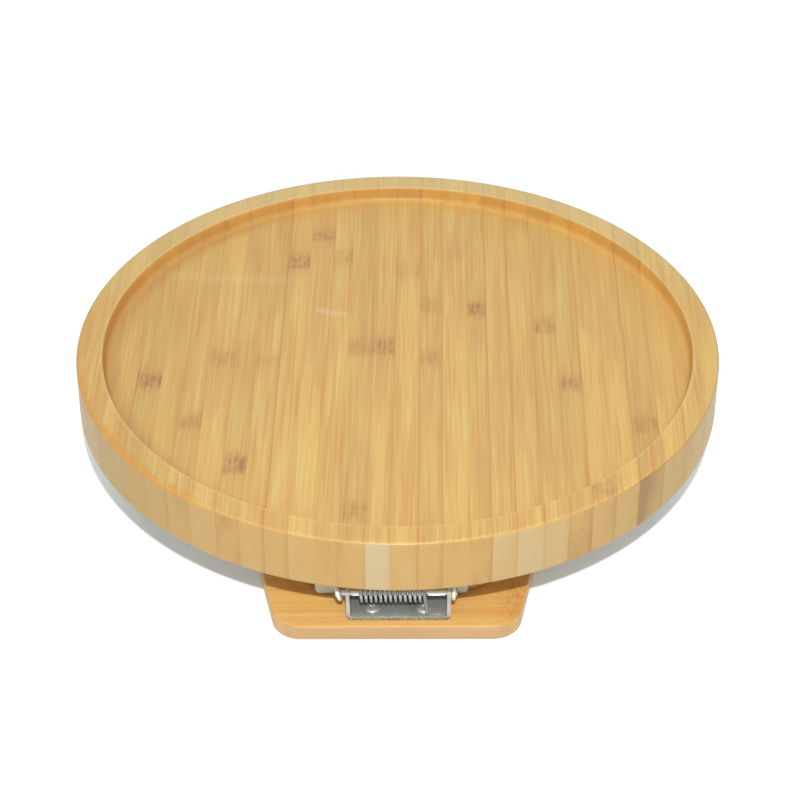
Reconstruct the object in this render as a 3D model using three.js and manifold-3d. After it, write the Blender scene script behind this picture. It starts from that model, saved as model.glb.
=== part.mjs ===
import * as THREE from 'three';
import { mergeVertices } from 'three/addons/utils/BufferGeometryUtils.js';
import Module from 'manifold-3d';

// Round bamboo tray that swivels on a two-winged spring clamp. Millimetres, +Z up.
// The origin is on the swivel axis, on the surface that the folded wings lie on.

// tray
const TRAY_RADIUS = 125;
const TRAY_BOTTOM = 22;
const TRAY_TOP = 44;
const TRAY_FLOOR = 38;
const TRAY_EDGE = 2;
const RIM_BROW = 1;
const WALL_FOOT = 2.6;
const RIM_INNER_RADIUS = 114.8;
const FLOOR_RADIUS = 111.6;

// stack from the ground up
const GAP = 0.3;
const WING_THICKNESS = 6.2;
const BASE_BOTTOM = 6.5;
const BASE_TOP = 14;
const BASE_HALF_WIDTH = 38;
const BASE_HALF_LENGTH = 106.5;
const BASE_CORNER = 16;
const BASE_BEVEL = 0.8;

// swivel between base board and tray
const PLATE_HALF = 37.5;
const PLATE_THICKNESS = 1;
const LOWER_PLATE_BOTTOM = 14.3;
const SWIVEL_MIDDLE = 18;
const BALL_CIRCLE = 26;
const BALL_RADIUS = 2.1;
const BALL_COUNT = 12;
const PLATE_SCREW_AT = 31;
const PLATE_CORNER = 5;
const PLATE_BORE = 4.2;
const PRESSED_MIDDLE_RADIUS = 9;
const PRESSED_MIDDLE_RISE = 1.7;
const TRACK_INNER = 21;
const TRACK_OUTER = 31;
const TRACK_RISE = 0.9;
const TRACK_GROOVE_RISE = 0.2;
const BLANK_RADIUS = 33;
const CAGE_INNER = 22.4;
const CAGE_OUTER = 29.6;
const CAGE_HALF_THICKNESS = 0.45;
const CAGE_POCKET_RADIUS = 2.5;

// clamp wing, for the front clamp; the rear clamp is the same turned half round
const WING_END = 125.7;
const WING_INNER_END = 10;
const WING_CENTRE_X = -0.6;
const WING_END_HALF_WIDTH = 43.2;
const WING_HALF_WIDTH = 50.6;
const WING_TAPER_START = 91;
const WING_CORNER = 11;
const WING_SHOULDER = 8;
const WING_INNER_CORNER = 12;
const WING_BEVEL = 0.7;

// hinge
const PIN_Y = -115.1;
const PIN_Z = 13.6;
const PIN_RADIUS = 1.5;
const PIN_HOLE_RADIUS = 1.57;
const SHEET = 1.4;
const CHANNEL_FRONT = -122.1;
const CHANNEL_BACK = -110;
const CHANNEL_HALF_WIDTH = 18.7;
const CHANNEL_EAR_RADIUS = 4.3;
const BRACKET_CENTRE_X = -0.9;
const BRACKET_EAR_INSIDE = 19.9;
const BRACKET_EAR_RADIUS = 3.2;
const PIN_HEAD_RADIUS = 2.1;
const PIN_HEAD_LENGTH = 0.8;
const FLANGE_HALF_WIDTH = 24;
const FLANGE_BACK = -89;
const WEB_LEFT = -30.3;
const WEB_RIGHT = 25.2;
const WEB_MIDDLE_LOW = 8.4;

// torsion spring
const WIRE_RADIUS = 0.7;
const COIL_RADIUS = 3.4;
const COIL_START_X = -13.85;
const COIL_PITCH = 1.757;
const COIL_TURNS = 13.165;
const BACK_LEG_LENGTH = 12.6;
const BACK_LEG_DROP = 0.2;
const FRONT_LEG_TIP_Y = -121.5;
const FRONT_LEG_LEAN = 1.1;
const FRONT_LEG_CLEARANCE = 1.2;

// wood screws, and the holes they go through or into
const PLATE_SCREW = { headRadius: 3.2, headHeight: 1.3, shankRadius: 1.5 };
const BRACKET_SCREW = { headRadius: 3, headHeight: 1.1, shankRadius: 1.5 };
const WING_SCREW = { headRadius: 2.7, headHeight: 0.95, shankRadius: 1.4 };
const TRAY_SCREW_LENGTH = 9.3;
const PLATE_SCREW_LENGTH = 7.4;
const BRACKET_SCREW_LENGTH = 8;
const WING_SCREW_LENGTH = 6.2;
const SCREW_POINT = 2.4;
const PILOT_RADIUS = 1.8;
const PLATE_HOLE_RADIUS = 1.9;
const TRAY_PILOT_TOP = 30.3;
const BASE_PILOT_LOW = 7.8;
const WING_PILOT_LOW = 1.4;

const COLOURS = {
  bamboo: ['#d9ae68', 0.45, 0],
  wing_bamboo: ['#dfa55a', 0.5, 0],
  base_bamboo: ['#d2a462', 0.55, 0],
  nickel: ['#b9b8b2', 0.22, 1],
  zinc: ['#c6c8c9', 0.35, 1],
  spring_steel: ['#c9c7bf', 0.28, 1],
  screw_steel: ['#bdbdba', 0.3, 1],
  ball_steel: ['#d0d2d4', 0.1, 1],
  nylon: ['#ece9df', 0.5, 0],
};

const wasm = await Module();
wasm.setup();

const group = new THREE.Group();

function addPart(name, geometry, look) {
  const [color, roughness, metalness] = COLOURS[look];
  const material = new THREE.MeshStandardMaterial({ color, roughness, metalness });
  const mesh = new THREE.Mesh(geometry, material);
  mesh.name = name;
  group.add(mesh);
}

function toSolid(geometry) {
  const plain = geometry.clone();
  plain.deleteAttribute('normal');
  plain.deleteAttribute('uv');
  const merged = mergeVertices(plain, 1e-4);
  return new wasm.Manifold(new wasm.Mesh({
    numProp: 3,
    vertProperties: new Float32Array(merged.attributes.position.array),
    triVerts: new Uint32Array(merged.index.array),
  }));
}

function toGeometry(solid) {
  const mesh = solid.getMesh();
  const geometry = new THREE.BufferGeometry();
  const positions = new Float32Array(mesh.vertProperties);
  geometry.setAttribute('position', new THREE.BufferAttribute(positions, 3));
  geometry.setIndex(new THREE.BufferAttribute(new Uint32Array(mesh.triVerts), 1));
  return geometry;
}

function cut(geometry, tools) {
  let solid = toSolid(geometry);
  for (const tool of tools) {
    solid = solid.subtract(toSolid(tool));
  }
  return toGeometry(solid);
}

function join(geometries) {
  let solid = toSolid(geometries[0]);
  for (const geometry of geometries.slice(1)) {
    solid = solid.add(toSolid(geometry));
  }
  return toGeometry(solid);
}

// A solid of revolution about Z from [radius, z] pairs.
function turned(profile, segments) {
  const points = profile.map(([radius, z]) => new THREE.Vector2(radius, z));
  return new THREE.LatheGeometry(points, segments).rotateX(Math.PI / 2);
}

// An upright round bar between two heights.
function bar(x, y, low, high, radius, segments = 16) {
  const geometry = new THREE.CylinderGeometry(radius, radius, high - low, segments);
  return geometry.rotateX(Math.PI / 2).translate(x, y, (low + high) / 2);
}

// The tool for a screw's pilot hole between two heights.
function pilot(x, y, low, high) {
  return bar(x, y, low, high, PILOT_RADIUS, 8);
}

// A round bar along X.
function crossBar(x0, x1, y, z, radius, segments = 20) {
  const geometry = new THREE.CylinderGeometry(radius, radius, x1 - x0, segments);
  return geometry.rotateZ(Math.PI / 2).translate((x0 + x1) / 2, y, z);
}

// A flat board from its plan outline, with small bevels along both faces.
function board(shape, low, high, bevel, curveSegments = 6) {
  const options = {
    depth: high - low - 2 * bevel,
    bevelEnabled: bevel > 0,
    bevelThickness: bevel,
    bevelSize: bevel,
    bevelOffset: -bevel,
    bevelSegments: 1,
    curveSegments,
  };
  return new THREE.ExtrudeGeometry(shape, options).translate(0, 0, low + bevel);
}

// A plate standing across X, from its outline drawn in Y and Z.
function standingPlate(shape, x0, x1) {
  const options = { depth: x1 - x0, bevelEnabled: false, curveSegments: 8 };
  const geometry = new THREE.ExtrudeGeometry(shape, options);
  const axes = new THREE.Matrix4().set(
    0, 0, 1, x0,
    1, 0, 0, 0,
    0, 1, 0, 0,
    0, 0, 0, 1,
  );
  return geometry.applyMatrix4(axes);
}

// A plan outline through corners, each [x, y, rounding radius].
function roundedOutline(corners) {
  const shape = new THREE.Shape();
  const count = corners.length;
  corners.forEach(([x, y, radius], i) => {
    const [px, py] = corners[(i + count - 1) % count];
    const [nx, ny] = corners[(i + 1) % count];
    const corner = new THREE.Vector2(x, y);
    const toPrevious = new THREE.Vector2(px - x, py - y).normalize();
    const toNext = new THREE.Vector2(nx - x, ny - y).normalize();
    const halfAngle = Math.acos(toPrevious.dot(toNext)) / 2;
    const reach = radius / Math.tan(halfAngle);
    const start = corner.clone().addScaledVector(toPrevious, reach);
    const end = corner.clone().addScaledVector(toNext, reach);
    if (i === 0) shape.moveTo(start.x, start.y);
    else shape.lineTo(start.x, start.y);
    if (radius > 0) shape.quadraticCurveTo(x, y, end.x, end.y);
  });
  shape.closePath();
  return shape;
}

function rectangle(x0, x1, y0, y1, radius) {
  return roundedOutline([[x0, y0, radius], [x1, y0, radius], [x1, y1, radius], [x0, y1, radius]]);
}

function corners(distance) {
  return [[1, 1], [-1, 1], [-1, -1], [1, -1]].map(([sx, sy]) => [sx * distance, sy * distance]);
}

// Points of an arc about [r, z], from one angle to another in degrees.
function arc(r, z, radius, from, to, steps) {
  const points = [];
  for (let i = 0; i <= steps; i++) {
    const angle = ((from + (to - from) * i / steps) * Math.PI) / 180;
    points.push([r + radius * Math.cos(angle), z + radius * Math.sin(angle)]);
  }
  return points;
}

// ---- tray body ----

function trayGeometry() {
  const e = TRAY_EDGE;
  const profile = [
    [0, TRAY_BOTTOM],
    ...arc(TRAY_RADIUS - e, TRAY_BOTTOM + e, e, -90, 0, 3),
    ...arc(TRAY_RADIUS - e, TRAY_TOP - e, e, 0, 90, 3),
    ...arc(RIM_INNER_RADIUS + RIM_BROW, TRAY_TOP - RIM_BROW, RIM_BROW, 90, 180, 2),
    ...arc(FLOOR_RADIUS, TRAY_FLOOR + WALL_FOOT, WALL_FOOT, 0, -90, 4),
    [0, TRAY_FLOOR],
  ];
  const pilots = corners(PLATE_SCREW_AT).map(([x, y]) => pilot(x, y, TRAY_BOTTOM - 2, TRAY_PILOT_TOP));
  return cut(turned(profile, 88), pilots);
}

// One swivel plate seen from its own side: flat square, raised ball track, raised middle.
function swivelPlate() {
  const t = PLATE_THICKNESS;
  const middle = PRESSED_MIDDLE_RISE;
  const upper = [
    [PLATE_BORE, t + middle], [PRESSED_MIDDLE_RADIUS, t + middle], [PRESSED_MIDDLE_RADIUS + 2, t],
    [TRACK_INNER, t], [TRACK_INNER + 1, t + TRACK_RISE],
    [BALL_CIRCLE - 2.2, t + TRACK_RISE], [BALL_CIRCLE, t + TRACK_GROOVE_RISE],
    [BALL_CIRCLE + 2.2, t + TRACK_RISE], [TRACK_OUTER - 1, t + TRACK_RISE], [TRACK_OUTER, t],
    [BLANK_RADIUS, t],
  ];
  const lower = [
    [BLANK_RADIUS, 0], [TRACK_OUTER, 0], [TRACK_OUTER - 1, TRACK_RISE], [TRACK_INNER + 1, TRACK_RISE],
    [TRACK_INNER, 0], [PRESSED_MIDDLE_RADIUS + 2, 0], [PRESSED_MIDDLE_RADIUS, middle], [PLATE_BORE, middle],
  ];
  const centre = turned([...upper.reverse(), ...lower.reverse(), [BLANK_RADIUS, t]], 28);
  const square = board(
    rectangle(-PLATE_HALF, PLATE_HALF, -PLATE_HALF, PLATE_HALF, PLATE_CORNER), 0, t, 0, 3,
  );
  const blank = cut(square, [bar(0, 0, -1, t + 1, BLANK_RADIUS - 1, 28)]);
  const holes = corners(PLATE_SCREW_AT).map(([x, y]) => bar(x, y, -1, t + 1, PLATE_HOLE_RADIUS, 8));
  return cut(join([blank, centre]), holes);
}

function lowerPlate() {
  return swivelPlate().translate(0, 0, LOWER_PLATE_BOTTOM);
}

function upperPlate() {
  return swivelPlate().rotateX(Math.PI).translate(0, 0, 2 * SWIVEL_MIDDLE - LOWER_PLATE_BOTTOM);
}

function ballPlace(i) {
  const angle = (i + 0.5) * 2 * Math.PI / BALL_COUNT;
  return [BALL_CIRCLE * Math.cos(angle), BALL_CIRCLE * Math.sin(angle)];
}

function ballCage() {
  const low = SWIVEL_MIDDLE - CAGE_HALF_THICKNESS;
  const high = SWIVEL_MIDDLE + CAGE_HALF_THICKNESS;
  const ring = turned([
    [CAGE_INNER, low], [CAGE_OUTER, low], [CAGE_OUTER, high], [CAGE_INNER, high], [CAGE_INNER, low],
  ], 36);
  const pockets = [];
  for (let i = 0; i < BALL_COUNT; i++) {
    const [x, y] = ballPlace(i);
    pockets.push(bar(x, y, low - 1, high + 1, CAGE_POCKET_RADIUS, 8));
  }
  return cut(ring, pockets);
}

function ball(i) {
  const [x, y] = ballPlace(i);
  return mergeVertices(new THREE.IcosahedronGeometry(BALL_RADIUS, 1)
    .deleteAttribute('normal').deleteAttribute('uv').translate(x, y, SWIVEL_MIDDLE), 1e-4);
}

// A hollow rivet that holds the two plates together through their raised middles.
function centreRivet() {
  const low = LOWER_PLATE_BOTTOM + 0.6;
  const high = 2 * SWIVEL_MIDDLE - low;
  return turned([
    [2.8, low], [6.6, low], [7, low + 0.4], [6.6, low + 0.8], [3.9, low + 0.8],
    [3.9, high - 0.8], [6.6, high - 0.8], [7, high - 0.4], [6.6, high], [2.8, high], [2.8, low],
  ], 16);
}

// A pan-head wood screw with its point towards -Z and the head's seat at z = 0.
function panScrew({ headRadius, headHeight, shankRadius }, length) {
  return turned([
    [0, -length], [shankRadius * 0.9, -length + SCREW_POINT - 0.4], [shankRadius, -length + SCREW_POINT],
    [shankRadius, 0], [headRadius, 0], [headRadius, headHeight * 0.35], [headRadius * 0.72, headHeight],
    [0, headHeight],
  ], 10);
}

function trayScrew(x, y) {
  const seat = 2 * SWIVEL_MIDDLE - LOWER_PLATE_BOTTOM - PLATE_THICKNESS - GAP;
  return panScrew(PLATE_SCREW, TRAY_SCREW_LENGTH).rotateX(Math.PI).translate(x, y, seat);
}

function plateScrew(x, y) {
  const seat = LOWER_PLATE_BOTTOM + PLATE_THICKNESS + GAP;
  return panScrew(PLATE_SCREW, PLATE_SCREW_LENGTH).translate(x, y, seat);
}

// ---- base board ----

const BRACKET_SCREWS = [[-15, -96.5], [15, -96.5]];

function baseBoard() {
  const outline = rectangle(
    -BASE_HALF_WIDTH, BASE_HALF_WIDTH, -BASE_HALF_LENGTH, BASE_HALF_LENGTH, BASE_CORNER,
  );
  const rearScrews = BRACKET_SCREWS.map(([x, y]) => [-x, -y]);
  const places = [...corners(PLATE_SCREW_AT), ...BRACKET_SCREWS, ...rearScrews];
  const pilots = places.map(([x, y]) => pilot(x, y, BASE_PILOT_LOW, BASE_TOP + 2));
  return cut(board(outline, BASE_BOTTOM, BASE_TOP, BASE_BEVEL), pilots);
}

// ---- clamp, drawn at the front ----

const WING_SCREWS = [[-9.5, -117.6], [9.1, -117.6]];

function wingBoard() {
  const [left, right] = [WING_CENTRE_X - WING_HALF_WIDTH, WING_CENTRE_X + WING_HALF_WIDTH];
  const outline = roundedOutline([
    [WING_CENTRE_X - WING_END_HALF_WIDTH, -WING_END, WING_CORNER],
    [WING_CENTRE_X + WING_END_HALF_WIDTH, -WING_END, WING_CORNER],
    [right, -WING_TAPER_START, WING_SHOULDER],
    [right, -WING_INNER_END, WING_INNER_CORNER],
    [left, -WING_INNER_END, WING_INNER_CORNER],
    [left, -WING_TAPER_START, WING_SHOULDER],
  ]);
  const pilots = WING_SCREWS.map(([x, y]) => pilot(x, y, WING_PILOT_LOW, WING_THICKNESS + 2));
  return cut(board(outline, 0, WING_THICKNESS, WING_BEVEL), pilots);
}

function pinHole() {
  return crossBar(-40, 40, PIN_Y, PIN_Z, PIN_HOLE_RADIUS);
}

// An ear's outline in Y and Z: from two foot points up and around the pin.
function earOutline(footFront, footBack, footLow, radius, from, to) {
  const shape = new THREE.Shape();
  shape.moveTo(footFront, footLow);
  shape.lineTo(footBack, footLow);
  for (const [y, z] of arc(PIN_Y, PIN_Z, radius, from, to, 10)) {
    shape.lineTo(y, z);
  }
  shape.closePath();
  return shape;
}

// Folded channel on the lever: a floor screwed to the wing and an ear at each side.
function wingBracket() {
  const low = WING_THICKNESS + GAP;
  const w = CHANNEL_HALF_WIDTH;
  const sole = rectangle(-w + 0.2, w - 0.2, CHANNEL_FRONT, CHANNEL_BACK, 0.4);
  const floor = board(sole, low, low + SHEET, 0, 1);
  const outline = earOutline(CHANNEL_FRONT + 0.1, CHANNEL_BACK - 0.1, low, CHANNEL_EAR_RADIUS, -25, 195);
  const left = standingPlate(outline, -w, -w + SHEET);
  const right = standingPlate(outline, w - SHEET, w);
  const holes = WING_SCREWS.map(([x, y]) => pilot(x, y, low - 1, low + SHEET + 1));
  return cut(join([floor, left, right]), [...holes, pinHole()]);
}

// Angle bracket on the base board's end: top flange, end web with two tabs, and two ears.
function baseBracket() {
  const front = -BASE_HALF_LENGTH - GAP - SHEET;
  const flangeLow = BASE_TOP + GAP;
  const top = flangeLow + SHEET;
  const flangePlan = rectangle(-FLANGE_HALF_WIDTH, FLANGE_HALF_WIDTH, front, FLANGE_BACK, 2);
  const flange = board(flangePlan, flangeLow, top, 0, 2);
  // the web hangs lowest at its left tab and rises between the tabs, where the ears stand
  const webCorners = [
    [WEB_LEFT + 1.3, 7], [-25, 7.2], [-22.6, WEB_MIDDLE_LOW], [20.8, WEB_MIDDLE_LOW],
    [WEB_RIGHT - 0.8, 7.6], [WEB_RIGHT, 8.2], [WEB_RIGHT, top - 0.6], [WEB_RIGHT - 0.6, top],
    [WEB_LEFT + 0.7, top], [WEB_LEFT, top - 0.6], [WEB_LEFT, 8.2],
  ];
  const webOutline = new THREE.Shape(webCorners.map(([x, z]) => new THREE.Vector2(x, z)));
  const web = new THREE.ExtrudeGeometry(webOutline, { depth: SHEET, bevelEnabled: false })
    .rotateX(Math.PI / 2).translate(0, front + SHEET, 0);
  const outline = new THREE.Shape();
  outline.moveTo(front + 0.5, 9.2);
  outline.lineTo(front + 0.5, top - 0.1);
  for (const [y, z] of arc(PIN_Y, PIN_Z, BRACKET_EAR_RADIUS, 75, 270, 9)) {
    outline.lineTo(y, z);
  }
  outline.closePath();
  const inside = BRACKET_EAR_INSIDE;
  const left = standingPlate(outline, BRACKET_CENTRE_X - inside - SHEET, BRACKET_CENTRE_X - inside);
  const right = standingPlate(outline, BRACKET_CENTRE_X + inside, BRACKET_CENTRE_X + inside + SHEET);
  const holes = BRACKET_SCREWS.map(([x, y]) => pilot(x, y, flangeLow - 1, top + 1));
  return cut(join([web, flange, left, right]), [...holes, pinHole()]);
}

// Pin with its ends peened over outside the base bracket's ears.
function hingePin() {
  const left = BRACKET_CENTRE_X - BRACKET_EAR_INSIDE - SHEET - GAP;
  const right = BRACKET_CENTRE_X + BRACKET_EAR_INSIDE + SHEET + GAP;
  const tip = PIN_HEAD_LENGTH;
  const r = PIN_HEAD_RADIUS;
  const profile = [
    [0, left - tip], [r - 0.5, left - tip], [r, left - 0.5], [r, left], [PIN_RADIUS, left],
    [PIN_RADIUS, right], [r, right], [r, right + 0.5], [r - 0.5, right + tip], [0, right + tip],
  ];
  return turned(profile, 20).rotateY(Math.PI / 2).translate(0, PIN_Y, PIN_Z);
}

// The centre line of the spring's wire, with t from 0 to 1 along the whole wire.
class SpringPath extends THREE.Curve {
  constructor() {
    super();
    const endAngle = Math.PI / 2 + COIL_TURNS * 2 * Math.PI;
    const endX = COIL_START_X + COIL_TURNS * COIL_PITCH;
    const start = new THREE.Vector3(COIL_START_X, PIN_Y, PIN_Z + COIL_RADIUS);
    this.backTip = start.clone().add(new THREE.Vector3(0, BACK_LEG_LENGTH, -BACK_LEG_DROP));
    this.start = start;
    this.end = new THREE.Vector3(
      endX, PIN_Y + COIL_RADIUS * Math.cos(endAngle), PIN_Z + COIL_RADIUS * Math.sin(endAngle),
    );
    const tipZ = WING_THICKNESS + GAP + SHEET + FRONT_LEG_CLEARANCE;
    this.frontTip = new THREE.Vector3(endX + FRONT_LEG_LEAN, FRONT_LEG_TIP_Y, tipZ);
  }

  getPoint(t, target = new THREE.Vector3()) {
    const leg = 0.04;
    if (t < leg) return target.lerpVectors(this.backTip, this.start, t / leg);
    if (t > 1 - leg) return target.lerpVectors(this.end, this.frontTip, (t - 1 + leg) / leg);
    const turns = COIL_TURNS * (t - leg) / (1 - 2 * leg);
    const angle = Math.PI / 2 + turns * 2 * Math.PI;
    return target.set(
      COIL_START_X + turns * COIL_PITCH,
      PIN_Y + COIL_RADIUS * Math.cos(angle),
      PIN_Z + COIL_RADIUS * Math.sin(angle),
    );
  }

  getPointAt(u, target) {
    return this.getPoint(u, target);
  }
}

function torsionSpring() {
  const section = new THREE.Shape();
  for (let i = 0; i < 6; i++) {
    const angle = (i * Math.PI) / 3;
    const x = WIRE_RADIUS * Math.cos(angle);
    const y = WIRE_RADIUS * Math.sin(angle);
    if (i === 0) section.moveTo(x, y);
    else section.lineTo(x, y);
  }
  section.closePath();
  return new THREE.ExtrudeGeometry(section, {
    steps: 128,
    extrudePath: new SpringPath(),
    bevelEnabled: false,
  });
}

function bracketScrew(x, y) {
  return panScrew(BRACKET_SCREW, BRACKET_SCREW_LENGTH).translate(x, y, BASE_TOP + GAP + SHEET + GAP);
}

function wingScrew(x, y) {
  return panScrew(WING_SCREW, WING_SCREW_LENGTH).translate(x, y, WING_THICKNESS + GAP + SHEET + GAP);
}

function addClamp(end, turn) {
  const place = (geometry) => geometry.rotateZ(turn);
  addPart(`${end}_wing`, place(wingBoard()), 'wing_bamboo');
  addPart(`${end}_wing_bracket`, place(wingBracket()), 'nickel');
  WING_SCREWS.forEach(([x, y], i) => {
    addPart(`${end}_wing_screw_${i + 1}`, place(wingScrew(x, y)), 'screw_steel');
  });
  addPart(`${end}_base_bracket`, place(baseBracket()), 'zinc');
  BRACKET_SCREWS.forEach(([x, y], i) => {
    addPart(`${end}_bracket_screw_${i + 1}`, place(bracketScrew(x, y)), 'screw_steel');
  });
  addPart(`${end}_hinge_pin`, place(hingePin()), 'nickel');
  addPart(`${end}_spring`, place(torsionSpring()), 'spring_steel');
}

addPart('tray', trayGeometry(), 'bamboo');
addPart('swivel_upper_plate', upperPlate(), 'zinc');
addPart('swivel_lower_plate', lowerPlate(), 'zinc');
addPart('ball_cage', ballCage(), 'nylon');
for (let i = 0; i < BALL_COUNT; i++) {
  addPart(`ball_${i + 1}`, ball(i), 'ball_steel');
}
addPart('centre_rivet', centreRivet(), 'zinc');
corners(PLATE_SCREW_AT).forEach(([x, y], i) => {
  addPart(`tray_screw_${i + 1}`, trayScrew(x, y), 'screw_steel');
  addPart(`plate_screw_${i + 1}`, plateScrew(x, y), 'screw_steel');
});
addPart('base_board', baseBoard(), 'base_bamboo');
addClamp('front', 0);
addClamp('rear', Math.PI);

export default group;
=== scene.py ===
import math
import random

import bmesh
import bpy
from mathutils import Matrix, Vector


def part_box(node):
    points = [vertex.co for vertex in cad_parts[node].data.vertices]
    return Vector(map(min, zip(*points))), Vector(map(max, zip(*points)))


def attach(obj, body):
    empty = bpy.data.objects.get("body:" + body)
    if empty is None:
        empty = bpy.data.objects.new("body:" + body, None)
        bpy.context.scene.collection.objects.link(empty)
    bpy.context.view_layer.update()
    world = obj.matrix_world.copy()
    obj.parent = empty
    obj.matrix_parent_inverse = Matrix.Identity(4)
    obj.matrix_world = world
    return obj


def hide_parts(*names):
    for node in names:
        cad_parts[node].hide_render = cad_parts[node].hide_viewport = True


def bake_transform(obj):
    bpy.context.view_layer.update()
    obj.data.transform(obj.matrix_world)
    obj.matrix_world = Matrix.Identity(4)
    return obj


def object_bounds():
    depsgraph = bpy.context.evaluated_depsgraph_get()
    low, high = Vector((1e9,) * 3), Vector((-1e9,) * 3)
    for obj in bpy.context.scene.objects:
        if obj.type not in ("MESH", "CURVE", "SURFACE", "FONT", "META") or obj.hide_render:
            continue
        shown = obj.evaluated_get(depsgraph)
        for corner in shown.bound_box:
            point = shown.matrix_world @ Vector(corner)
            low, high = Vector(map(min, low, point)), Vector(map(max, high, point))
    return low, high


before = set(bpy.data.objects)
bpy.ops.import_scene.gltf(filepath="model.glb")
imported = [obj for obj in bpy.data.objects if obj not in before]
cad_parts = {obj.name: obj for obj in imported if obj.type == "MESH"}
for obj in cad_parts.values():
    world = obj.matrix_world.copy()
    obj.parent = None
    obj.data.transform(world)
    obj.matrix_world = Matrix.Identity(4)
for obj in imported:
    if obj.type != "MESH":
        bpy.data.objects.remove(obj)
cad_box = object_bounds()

MM = 0.001
GAP = 0.3 * MM

# ---------------------------------------------------------------- places, from the frame


def low(node):
    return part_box(node)[0]


def high(node):
    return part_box(node)[1]


TRAY_RADIUS = high("tray").x
TRAY_BOTTOM = low("tray").z
TRAY_TOP = high("tray").z
TRAY_FLOOR = TRAY_TOP - 6 * MM
RIM_INNER_RADIUS = TRAY_RADIUS - 10.2 * MM
FLOOR_RADIUS = TRAY_RADIUS - 13.4 * MM
TRAY_EDGE = 1.4 * MM
RIM_BROW = 0.45 * MM
COVE_RADIUS = 2.6 * MM
MIDDLE_RING = 60 * MM

PLATE_THICKNESS = 1 * MM
PLATE_HALF = 37.5 * MM
PLATE_CORNER = 5 * MM
BALL_COUNT = 12
# The pressed plate's section from its bore outwards: radius and rise in millimetres.
PLATE_SECTION = [
    (4.2, 1.7), (8.6, 1.7), (9.4, 1.5), (10.6, 0.2), (11.4, 0), (20.6, 0), (21.4, 0.3), (22.2, 0.9),
    (23.6, 0.9), (24.6, 0.55), (26, 0.2), (27.4, 0.55), (28.4, 0.9), (29.8, 0.9), (30.6, 0.3), (31.4, 0),
    (34, 0),
]

# Wood screws: radius and height of the head, and radius of the shank.
PLATE_SCREW = (3.2 * MM, 1.3 * MM, 1.5 * MM)
BRACKET_SCREW = (3 * MM, 1.1 * MM, 1.5 * MM)
WING_SCREW = (2.7 * MM, 0.95 * MM, 1.4 * MM)
SCREW_POINT = 2 * MM

BASE_CORNER = 16 * MM
BASE_EDGE = 1 * MM
WING_EDGE = 0.9 * MM
WING_TAPER_WIDTH = 7.4 * MM
WING_TAPER_LENGTH = 34.7 * MM
WING_LEVER_CORNER = 11 * MM
WING_SHOULDER = 12 * MM
WING_INNER_CORNER = 9 * MM

PIN_Z = (low("front_hinge_pin").z + high("front_hinge_pin").z) / 2
PIN_Y = (low("front_hinge_pin").y + high("front_hinge_pin").y) / 2
PIN_RADIUS = 1.5 * MM
SHEET = 1.4 * MM
BRACKET_CENTRE_X = -0.9 * MM
BRACKET_EAR_INSIDE = 19.9 * MM
BRACKET_EAR_RADIUS = 3.2 * MM
BRACKET_EAR_DROP = 4.6 * MM
BRACKET_EAR_EDGE = 0.55 * MM
FLANGE_HALF_WIDTH = 24 * MM
FLANGE_BACK = -89 * MM
CHANNEL_EAR_RADIUS = 4.3 * MM
CHANNEL_LEAN = 0.05
BEND_RADIUS = 1.3 * MM
BEND_STEPS = 6
PIN_CLEARANCE = 0.08 * MM
PIN_HEAD_RADIUS = 1.8 * MM
PIN_HEAD_FLAT = 0.5 * MM

WIRE_RADIUS = 0.7 * MM
COIL_RADIUS = 3.4 * MM
COIL_START_X = -13.85 * MM
COIL_PITCH = 1.757 * MM
COIL_TURNS = 13.165
BACK_LEG_LENGTH = 12.6 * MM
BACK_LEG_DROP = 0.2 * MM
FRONT_LEG_TIP_Y = -121.5 * MM
FRONT_LEG_LEAN = 1.1 * MM
FRONT_LEG_LIFT = 0.15 * MM

# The strips run a little off the hinge's square.
STRIP_TILT = -0.0165

FLOOR_HALF = 6.0
LAMP_PLACE = (0.03, -1.02, 1.19)
LAMP_AIM = (0, 0, 0.03)
LAMP_SIZE = 0.05
LAMP_POWER = 18.0
SKY_COLOUR = (0.97, 0.985, 1.0, 1)
SKY_STRENGTH = 0.6
CAMERA_PLACE = (-0.0018, -0.7787, TRAY_TOP + 0.5397)
CAMERA_PITCH = math.radians(36.14)
CAMERA_YAW = math.radians(0.2)
CAMERA_LENS = 109.1

# ---------------------------------------------------------------- mesh helpers


def add_mesh(name, vertices, faces, smooth_angle=35):
    """A closed mesh object, with its faces turned outwards and its sharp edges marked."""
    mesh = bpy.data.meshes.new(name)
    mesh.from_pydata([tuple(v) for v in vertices], [], faces)
    bm = bmesh.new()
    bm.from_mesh(mesh)
    bmesh.ops.remove_doubles(bm, verts=bm.verts, dist=1e-7)
    bmesh.ops.recalc_face_normals(bm, faces=bm.faces)
    bm.to_mesh(mesh)
    bm.free()
    obj = bpy.data.objects.new(name, mesh)
    bpy.context.scene.collection.objects.link(obj)
    shade(obj, smooth_angle)
    return obj


def shade(obj, smooth_angle):
    for polygon in obj.data.polygons:
        polygon.use_smooth = True
    obj.data.set_sharp_from_angle(angle=math.radians(smooth_angle))


def settle(obj, smooth_angle=35):
    """Applies an object's modifiers to its mesh."""
    bpy.context.view_layer.update()
    depsgraph = bpy.context.evaluated_depsgraph_get()
    mesh = bpy.data.meshes.new_from_object(obj.evaluated_get(depsgraph))
    obj.modifiers.clear()
    obj.data = mesh
    shade(obj, smooth_angle)
    return obj


def combine(target, other, operation):
    """Boolean of two meshes; the other one is used up."""
    modifier = target.modifiers.new("combine", "BOOLEAN")
    modifier.operation = operation
    modifier.solver = "EXACT"
    modifier.object = other
    settle(target)
    bpy.data.objects.remove(other)
    return target


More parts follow.
